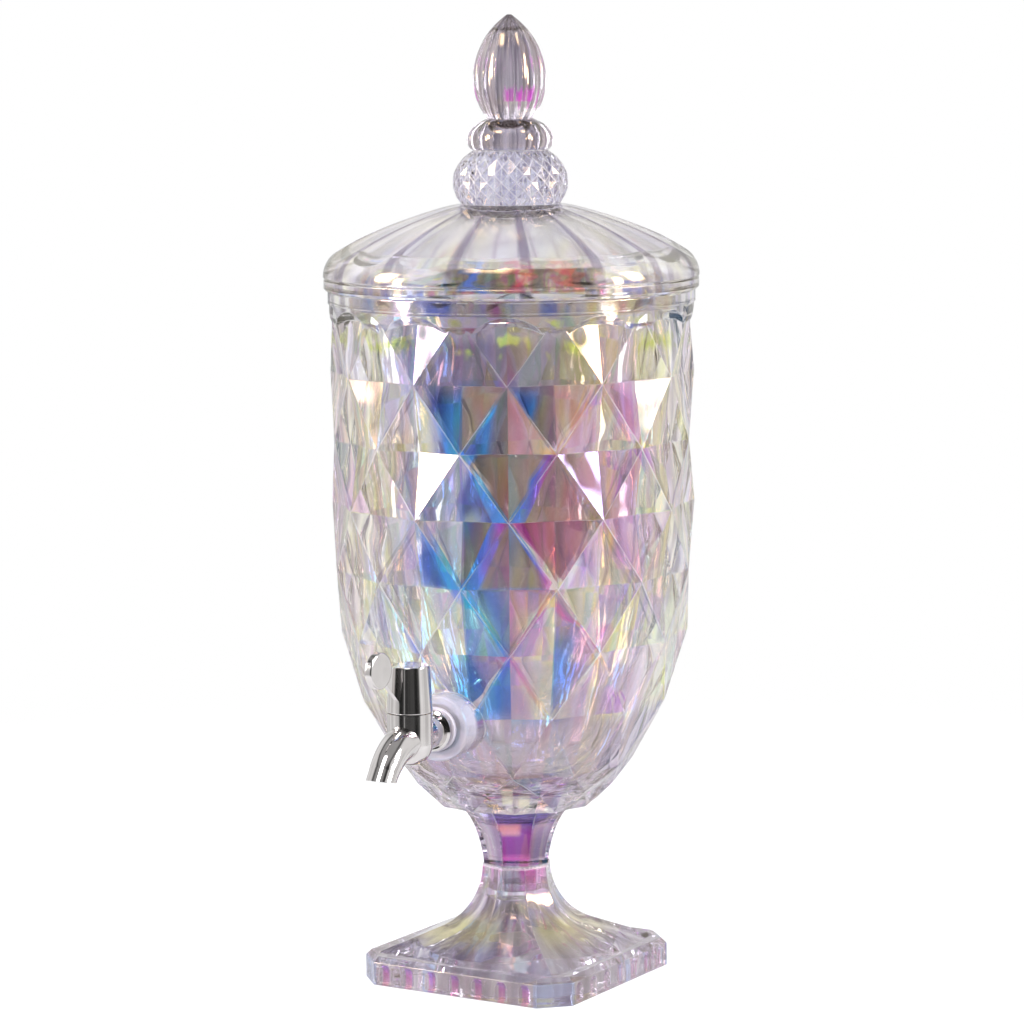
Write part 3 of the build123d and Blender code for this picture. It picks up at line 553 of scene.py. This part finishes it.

    # Pale frosted ridges, partly a painted highlight along each ridge, and a little haze below the middle
    # that leaves the neck clear
    ridge_highlight = graph.times(ridge, graph.spread(second, 0.40, 0.58, 0.20, 0.90))
    haze = graph.times(graph.spread(height, *HAZE_PART, *HAZE), graph.minus(1.0, neck))
    frost = graph.most(
        ridge_highlight,
        graph.times(boss, BOSS_FROST),
        graph.times(spark, SPARK_FROST),
        graph.times(seam, SEAM_FROST),
        haze,
    )
    graph.feed(shader.inputs["Thin Film Thickness"], graph.spread(facet, 0.0, 1.0, *FILM))
    finish_glass(graph, shader, tint, frost)
    dress(made, "bowl")


# Lid: a little milky, cream on the petals, with painted shade along the creases, and bright in a band near
# the rim
PETAL_STEP = 22.5
CREASE_START = 6.0
LID_FACES = [
    (0.34, (0.90, 0.88, 0.95)),
    (0.50, (0.98, 0.97, 0.97)),
    (0.62, (0.97, 0.95, 0.82)),
    (0.72, (0.95, 0.90, 0.96)),
]
CREASE_SHADE = (0.36, 0.32, 0.46)
RIM_COLOURS = [
    (0.34, (0.20, 0.34, 0.86)),
    (0.46, (0.80, 0.78, 0.86)),
    (0.56, (0.84, 0.80, 0.48)),
    (0.66, (0.78, 0.26, 0.50)),
]
BAND_COLOURS = [
    (0.30, (0.10, 0.32, 0.78)),
    (0.38, (0.34, 0.36, 0.32)),
    (0.46, (0.26, 0.22, 0.20)),
    (0.54, (0.42, 0.36, 0.20)),
    (0.60, (0.60, 0.24, 0.34)),
    (0.66, (0.80, 0.76, 0.50)),
]
BAND_SPOTS = [(-11.0, (0.02, 0.22, 0.85)), (3.0, (0.75, 0.06, 0.16)), (18.0, (0.85, 0.20, 0.14))]
SPOT_BEND = 3.0
RIM_PART = (0.387, 0.382)
BAND = (0.3865, 0.3880, 0.3990, 0.4002)
MILKY_PART = (0.390, 0.400)
MILKY = (0.10, 0.35)
CLEAR_REACH = (0.040, 0.054)
GLITTER_REACH = (0.056, 0.044)
GLITTER_SCALE = 190.0
GLITTER_LILAC = (0.56, 0.53, 0.72)
LID_WHITE = 0.15
PETAL_GRAIN = (0.05, 16.0)
RIM_GRAIN = (0.12, 30.0)
FLECK_GRAIN = (0.16, 40.0)
SPOT_GRAIN = (0.10, 160.0)


def dress_lid():
    made, graph, shader, ridge = glass("lid_glass")
    turn, height = round_the_axis(graph)
    reach = reach_from_axis(graph)
    streak = graph.drawn_noise(turn, reach, PETAL_GRAIN, 0.0, 2.0)
    # Painted shade along the creases between the petals
    crease = graph.spread(graph.wave(turn, CREASE_START, PETAL_STEP), 0.80, 0.97, 0.0, 0.9)
    tint = graph.mix(crease, graph.ramp(streak, LID_FACES), CREASE_SHADE)
    rim = graph.drawn_noise(turn, height, RIM_GRAIN, 5.0, 2.0)
    tint = graph.mix(graph.spread(height, *RIM_PART), tint, graph.ramp(rim, RIM_COLOURS))

    # Band near the rim, with three ragged spots of strong colour
    band = graph.spread(graph.wave(turn, SECTOR_MIDDLE + 3, SECTOR), 0.10, 0.55)
    band = graph.times(graph.window(height, *BAND), band)
    flecks = graph.drawn_noise(turn, height, FLECK_GRAIN, 9.0, 1.0)
    tint = graph.mix(band, tint, graph.ramp(flecks, BAND_COLOURS))
    ragged = graph.drawn_noise(turn, height, SPOT_GRAIN, 12.0, 1.0)
    bent = graph.plus(turn, graph.spread(ragged, 0.3, 0.7, -SPOT_BEND, SPOT_BEND))
    for aside, colour in BAND_SPOTS:
        spot = graph.spread(graph.wave(bent, SECTOR_MIDDLE + aside, SECTOR), 0.985, 0.998, 0.0, 0.7)
        tint = graph.mix(graph.times(spot, band), tint, colour)

    # Glitter round the finial, and milk that is thinner there and in the band
    speckle = graph.spread(graph.noise(graph.place(), GLITTER_SCALE, 1.0), 0.42, 0.56)
    glitter = graph.times(speckle, graph.spread(reach, *GLITTER_REACH))
    tint = graph.mix(graph.times(glitter, 0.6), tint, GLITTER_LILAC)
    milky = graph.times(
        graph.spread(height, *MILKY_PART, *MILKY),
        graph.spread(reach, *CLEAR_REACH, 0.45, 1.0),
        graph.spread(band, 0.0, 1.0, 1.0, 0.15),
    )
    # Frosted pale ridges, partly a painted highlight, and the milk
    finish_glass(graph, shader, tint, graph.most(graph.times(ridge, RIDGE_FROST_HIGHLIGHT), milky), LID_WHITE)
    dress(made, "lid")


# Finial: clear in the cut ball, darker grey in the ring and the flame, painted shade for their dark
# refraction, with a magenta patch low on the flame
BALL_TOP = 0.4585
BALL_FADE = 0.003
BALL_LILACS = [(0.32, (0.40, 0.39, 0.56)), (0.48, (0.78, 0.76, 0.85)), (0.66, (0.52, 0.50, 0.64))]
FLAME_GREYS = [(0.32, (0.17, 0.15, 0.18)), (0.50, (0.42, 0.37, 0.40)), (0.66, (0.62, 0.55, 0.60))]
BLUSH_LOW = (0.4845, 0.4855)
BLUSH_HIGH = (0.4935, 0.4905)
BLUSH_MAGENTA = (0.74, 0.10, 0.62)
BLUSH_RAGGED = 0.003
BLUSH_GRAIN = 0.14
FINIAL_GRAIN = (0.06, 14.0)


def dress_finial():
    made, graph, shader, ridge = glass("finial_glass")
    turn, height = round_the_axis(graph)
    above_ball = (BALL_TOP, BALL_TOP + BALL_FADE)
    streak = graph.drawn_noise(turn, height, FINIAL_GRAIN, 2.0, 2.0)
    clear = graph.ramp(streak, BALL_LILACS)
    # The ring and flame are tinted darker grey: painted shade for the dark refraction through the thick
    # glass
    flame_shade = graph.ramp(streak, FLAME_GREYS)
    tint = graph.mix(graph.spread(height, *above_ball), clear, flame_shade)
    ragged = graph.noise(graph.join(graph.times(turn, BLUSH_GRAIN), 0.0, 8.0), 1.0, 1.0)
    edge = graph.plus(height, graph.spread(ragged, 0.3, 0.7, -BLUSH_RAGGED, BLUSH_RAGGED))
    blush = graph.times(
        graph.spread(height, *BLUSH_LOW),
        graph.spread(edge, *BLUSH_HIGH),
        graph.spread(graph.wave(turn, SECTOR_MIDDLE + 18, SECTOR), -0.1, 0.3),
        graph.spread(ragged, 0.36, 0.50, 0.25, 1.0),
    )
    tint = graph.mix(blush, tint, BLUSH_MAGENTA)
    # Frosted pale ridges, strongest on the cut ball, partly a painted highlight
    finish_glass(graph, shader, tint, graph.times(ridge, graph.spread(height, *above_ball, 0.9, 0.25)))
    dress(made, "finial")


# Pedestal: lavender grey, with a rosy stem, yellow on the flare, and magenta flutes, partly the coating's
# colour and partly its painted reflection at the flutes' angles
PEDESTAL_TURN = -7.3
FLUTE_PITCH = 0.01497
FLUTE_TOP = 0.0122
FLUTE_FADE = 0.001
FLUTE_FACE = (0.0600, 0.0630)
FOOT_GREYS = [
    (0.32, (0.30, 0.26, 0.34)),
    (0.46, (0.50, 0.45, 0.54)),
    (0.56, (0.78, 0.74, 0.80)),
    (0.70, (0.54, 0.48, 0.60)),
]
STEM_TINTS = [
    (0.34, (0.44, 0.32, 0.50)),
    (0.44, (0.74, 0.60, 0.70)),
    (0.54, (0.78, 0.86, 0.88)),
    (0.64, (0.60, 0.56, 0.66)),
]
STEM_ROSES = [(0.0, (0.97, 0.86, 0.95)), (1.0, (0.86, 0.20, 0.66))]
# Magenta in the flutes, partly the coating's colour and partly its painted reflection
FLUTE_PINKS = [(0.0, (0.84, 0.34, 0.54)), (0.55, (0.66, 0.10, 0.54)), (0.9, (0.36, 0.12, 0.74))]
FLARE_YELLOW = (0.84, 0.78, 0.42)
CORNER_BLUE = (0.34, 0.50, 0.90)
STEM_PART = (0.040, 0.052)
ROSY_PART = (0.034, 0.044)
ROSY_RISE = (0.042, 0.060)
YELLOW_PART = (0.019, 0.026, 0.030, 0.038)
CORNER_OUT = (0.1165, 0.1180)
CORNER_PART = (0.014, 0.012)
FOOT_HAZE = 0.11
FOOT_WHITE = 0.3
FOOT_GRAIN = (0.07, 14.0)
FOOT_WAVES = (60.0, 0.0009)


def dress_pedestal():
    made, graph, shader, ridge = glass("foot_glass", *FOOT_WAVES)
    turn, height = round_the_axis(graph)
    squared = graph.add("ShaderNodeVectorRotate", rotation_type="Z_AXIS")
    graph.feed(squared.inputs["Vector"], graph.place())
    squared.inputs["Angle"].default_value = math.radians(-PEDESTAL_TURN)
    x, y, _ = graph.split(squared.outputs[0])
    streak = graph.drawn_noise(turn, height, FOOT_GRAIN, 4.0, 3.0)
    stem = graph.spread(height, *STEM_PART)
    tint = graph.mix(stem, graph.ramp(streak, FOOT_GREYS), graph.ramp(streak, STEM_TINTS))
    rosy = graph.spread(graph.wave(turn, SECTOR_MIDDLE + 34, SECTOR), 0.35, 0.80)
    rosy = graph.times(graph.spread(height, *ROSY_PART), rosy)
    tint = graph.mix(rosy, tint, graph.ramp(graph.spread(height, *ROSY_RISE), STEM_ROSES))
    seam = seam_at(graph, height)
    tint = graph.mix(seam, tint, SEAM_PINK)
    aside = graph.spread(graph.wave(turn, SECTOR_MIDDLE, SECTOR), 0.8, 0.3, 0.25, 0.85)
    tint = graph.mix(graph.times(graph.window(height, *YELLOW_PART), aside), tint, FLARE_YELLOW)

    # Flutes on the four sides, their magenta partly a painted reflection of the coating and stronger on the
    # front and back, and the cut corners
    far_x = graph.size(x)
    far_y = graph.size(y)
    facing = graph.math("GREATER_THAN", far_y, far_x)
    along = graph.plus(graph.times(x, facing), graph.times(y, graph.minus(1.0, facing)))
    flute = graph.times(
        graph.spread(graph.wave(along, 0.0, FLUTE_PITCH), 0.45, 0.80),
        graph.spread(height, FLUTE_TOP, FLUTE_TOP - FLUTE_FADE),
        graph.spread(facing, 0.0, 1.0, 0.30, 1.0),
        graph.spread(graph.most(far_x, far_y), *FLUTE_FACE),
    )
    tint = graph.mix(flute, tint, graph.ramp(graph.over(height, FLUTE_TOP), FLUTE_PINKS))
    corner = graph.spread(graph.plus(far_x, far_y), *CORNER_OUT)
    corner = graph.times(corner, graph.spread(height, *CORNER_PART, 0.0, 0.85))
    tint = graph.mix(corner, tint, CORNER_BLUE)
    # Frosted pale ridges, partly a painted highlight, over an even milky haze and the seam
    frost = graph.most(graph.times(ridge, RIDGE_FROST_HIGHLIGHT), FOOT_HAZE, graph.times(seam, SEAM_FROST))
    finish_glass(graph, shader, tint, frost, FOOT_WHITE)
    dress(made, "pedestal")


def dress_plain(name, scale, detail, dark, light, rough, *pieces, metallic=0.0, grain_range=(0.3, 0.7)):
    """Metal, rubber or plastic with a fine grain; rough is one value, or two that follow the grain."""
    made, graph, shader = material(name)
    grain = graph.noise(graph.place(), scale, detail)
    graph.feed(shader.inputs["Base Color"], graph.ramp(grain, [(0.3, dark), (0.7, light)]))
    if isinstance(rough, tuple):
        rough = graph.spread(grain, *grain_range, *rough)
    graph.feed(shader.inputs["Roughness"], rough)
    shader.inputs["Metallic"].default_value = metallic
    dress(made, *pieces)


dress_bowl()
dress_lid()
dress_finial()
dress_pedestal()
dress_plain(
    "chrome", 60.0, 3.0, (0.68, 0.65, 0.64), (0.77, 0.74, 0.73), (0.06, 0.12),
    "tap_body", "tap_handle", "handle_cap", metallic=1.0, grain_range=(0.35, 0.75),
)
dress_plain(
    "silicone", 180.0, 3.0, (0.56, 0.52, 0.60), (0.66, 0.62, 0.70), 0.45,
    "outer_gasket", "inner_gasket",
)
dress_plain(
    "plastic", 400.0, 2.0, (0.82, 0.82, 0.80), (0.88, 0.88, 0.86), (0.32, 0.42),
    "clamp_nut", "valve_plug",
)
dress_plain("rubber", 900.0, 2.0, (0.03, 0.03, 0.03), (0.06, 0.06, 0.06), 0.6, "plug_o_rings")
dress_plain(
    "steel", 900.0, 2.0, (0.52, 0.52, 0.53), (0.62, 0.62, 0.63), (0.25, 0.4),
    "handle_screw", metallic=1.0,
)

# Pale round floor that fades out into the white background
FLOOR_RADIUS = 0.9
FLOOR_FADE = 0.45
FLOOR_SIDES = 96
FLOOR_DROP = 0.0003
FLOOR_GREY = (0.40, 0.40, 0.41, 1)
FLOOR_WHITE = (0.96, 0.96, 0.97, 1)
FLOOR_SEEN = 0.68
FLOOR_MIRRORED = 0.30

floor_mesh = bpy.data.meshes.new("floor")
directions = [2 * math.pi * side / FLOOR_SIDES for side in range(FLOOR_SIDES)]
edge = [(FLOOR_RADIUS * math.cos(a), FLOOR_RADIUS * math.sin(a), 0) for a in directions]
floor_mesh.from_pydata(edge, [], [tuple(range(FLOOR_SIDES))])
floor = bpy.data.objects.new("floor", floor_mesh)
floor.location.z = -FLOOR_DROP
scene.collection.objects.link(floor)
floor_paint = bpy.data.materials.new("floor_paint")
floor_paint.use_nodes = True
tree = floor_paint.node_tree
tree.nodes.clear()
graph = Graph(tree)
path = graph.add("ShaderNodeLightPath").outputs
diffuse = graph.add("ShaderNodeBsdfDiffuse")
diffuse.inputs["Color"].default_value = FLOOR_GREY
shine = graph.add("ShaderNodeEmission")
shine.inputs["Color"].default_value = FLOOR_WHITE
seen = graph.times(path["Is Camera Ray"], FLOOR_SEEN)
mirrored = graph.times(graph.most(path["Is Glossy Ray"], path["Is Transmission Ray"]), FLOOR_MIRRORED)
graph.feed(shine.inputs["Strength"], graph.plus(seen, mirrored))
both = graph.add("ShaderNodeAddShader")
tree.links.new(diffuse.outputs[0], both.inputs[0])
tree.links.new(shine.outputs[0], both.inputs[1])
clear = graph.add("ShaderNodeBsdfTransparent")
fade = graph.add("ShaderNodeMixShader")
graph.feed(fade.inputs[0], graph.spread(reach_from_axis(graph), FLOOR_FADE, FLOOR_RADIUS))
tree.links.new(both.outputs[0], fade.inputs[1])
tree.links.new(clear.outputs[0], fade.inputs[2])
surface = graph.add("ShaderNodeOutputMaterial")
tree.links.new(fade.outputs[0], surface.inputs["Surface"])
floor_mesh.materials.append(floor_paint)

# White surroundings for what the camera sees, streaks of grey through the glass,
# and for reflections a room that is bright at the sides and above, and dark behind the camera
ROOM_STREAKS = [
    (0.34, (0.44, 0.42, 0.49)),
    (0.42, (0.64, 0.61, 0.70)),
    (0.50, (0.88, 0.86, 0.92)),
    (0.57, (1.00, 1.00, 1.00)),
    (0.64, (0.98, 0.97, 0.86)),
    (0.72, (0.76, 0.73, 0.84)),
]
WHITE = (1.0, 1.0, 1.0)
ROOM_GRAIN = (0.04, 1.4)  # to a degree, and to the whole rise
STREAK_RANGE = (0.40, 0.60)
SIDE_BEARING = (48.0, 62.0)
SIDE_RISE = (0.80, 0.60)
SIDE_LEVEL = (0.62, 0.90)
DARK_LEVEL = (0.02, 0.07)
LINE_BEARING = -26.0
LINE_WIDTH = (3.0, 1.5)
LINE_LEVEL = 0.30
CEILING_RISE = (0.72, 0.86)
CEILING_LEVEL = 0.40
DIFFUSE_LEVEL = 0.35

world = bpy.data.worlds.new("world")
scene.world = world
world.use_nodes = True
graph = Graph(world.node_tree)
background = world.node_tree.nodes["Background"]
path = graph.add("ShaderNodeLightPath").outputs
x, y, z = graph.split(graph.add("ShaderNodeTexCoord").outputs["Generated"])
bearing = graph.bearing(x, y)
streaks = graph.drawn_noise(bearing, z, ROOM_GRAIN, 0.0, 1.0)
from_camera = graph.minus(bearing, CAMERA_AZIMUTH)
beside = graph.times(graph.spread(graph.size(from_camera), *SIDE_BEARING), graph.spread(z, *SIDE_RISE))
line = graph.spread(graph.size(graph.minus(from_camera, LINE_BEARING)), *LINE_WIDTH)
dark = graph.plus(graph.spread(streaks, *STREAK_RANGE, *DARK_LEVEL), graph.times(line, LINE_LEVEL))
mirror = graph.spread(beside, 0.0, 1.0, dark, graph.spread(streaks, *STREAK_RANGE, *SIDE_LEVEL))
mirror = graph.most(mirror, graph.spread(z, *CEILING_RISE, 0.0, CEILING_LEVEL))
reflected = graph.math("SUBTRACT", path["Is Glossy Ray"], path["Is Transmission Ray"], clamp=True)
level = graph.plus(
    path["Is Camera Ray"],
    path["Is Transmission Ray"],
    graph.times(reflected, mirror),
    graph.times(path["Is Diffuse Ray"], DIFFUSE_LEVEL),
)
graph.feed(background.inputs["Strength"], level)
refracted = graph.times(path["Is Transmission Ray"], graph.minus(1.0, path["Is Camera Ray"]))
graph.feed(background.inputs["Color"], graph.mix(refracted, WHITE, graph.ramp(streaks, ROOM_STREAKS)))

# Lamps that fade towards their edges, aimed at the middle of the object
LAMP_FULL = 0.15  # full up to this far from the lamp's middle, as a share of its side
LAMP_EDGE = 0.5
LAMP_CENTRE = 2.2
LAMP_AIM = Vector((0, 0, 0.27))


def softbox(name, bearing, rise, distance, width, tall, power):
    """A lamp by its bearing from the camera and its rise in degrees, its sizes in metres and its watts."""
    lamp = bpy.data.lights.new(name, "AREA")
    lamp.shape = "RECTANGLE"
    lamp.size = width
    lamp.size_y = tall
    lamp.energy = power
    lamp.use_nodes = True
    graph = Graph(lamp.node_tree)
    u, v, _ = graph.split(graph.add("ShaderNodeNewGeometry").outputs["Parametric"])
    fades = [graph.spread(graph.size(graph.minus(part, 0.5)), LAMP_EDGE, LAMP_FULL) for part in (u, v)]
    graph.feed(lamp.node_tree.nodes["Emission"].inputs["Strength"], graph.times(LAMP_CENTRE, *fades))
    made = bpy.data.objects.new(name, lamp)
    scene.collection.objects.link(made)
    around = math.radians(CAMERA_AZIMUTH + bearing)
    level = math.cos(math.radians(rise))
    away = Vector((math.sin(around) * level, -math.cos(around) * level, math.sin(math.radians(rise))))
    made.location = LAMP_AIM + away * distance
    made.rotation_mode = "QUATERNION"
    made.rotation_quaternion = away.to_track_quat("Z", "Y")
    return made


softbox("left_softbox", -83, 22, 1.6, 0.45, 0.9, 26.0)
softbox("right_softbox", 80, 22, 1.6, 0.40, 0.9, 24.0)
softbox("right_strip", 66, 12, 1.6, 0.22, 0.8, 11.0)
softbox("left_strip", -71, 12, 1.6, 0.22, 0.8, 11.0)
softbox("top_softbox", -20, 62, 1.8, 0.8, 0.8, 14.0)
fill = softbox("front_fill", 0, 14, 2.2, 1.2, 1.2, 20.0)
fill.visible_glossy = False
fill.visible_transmission = False
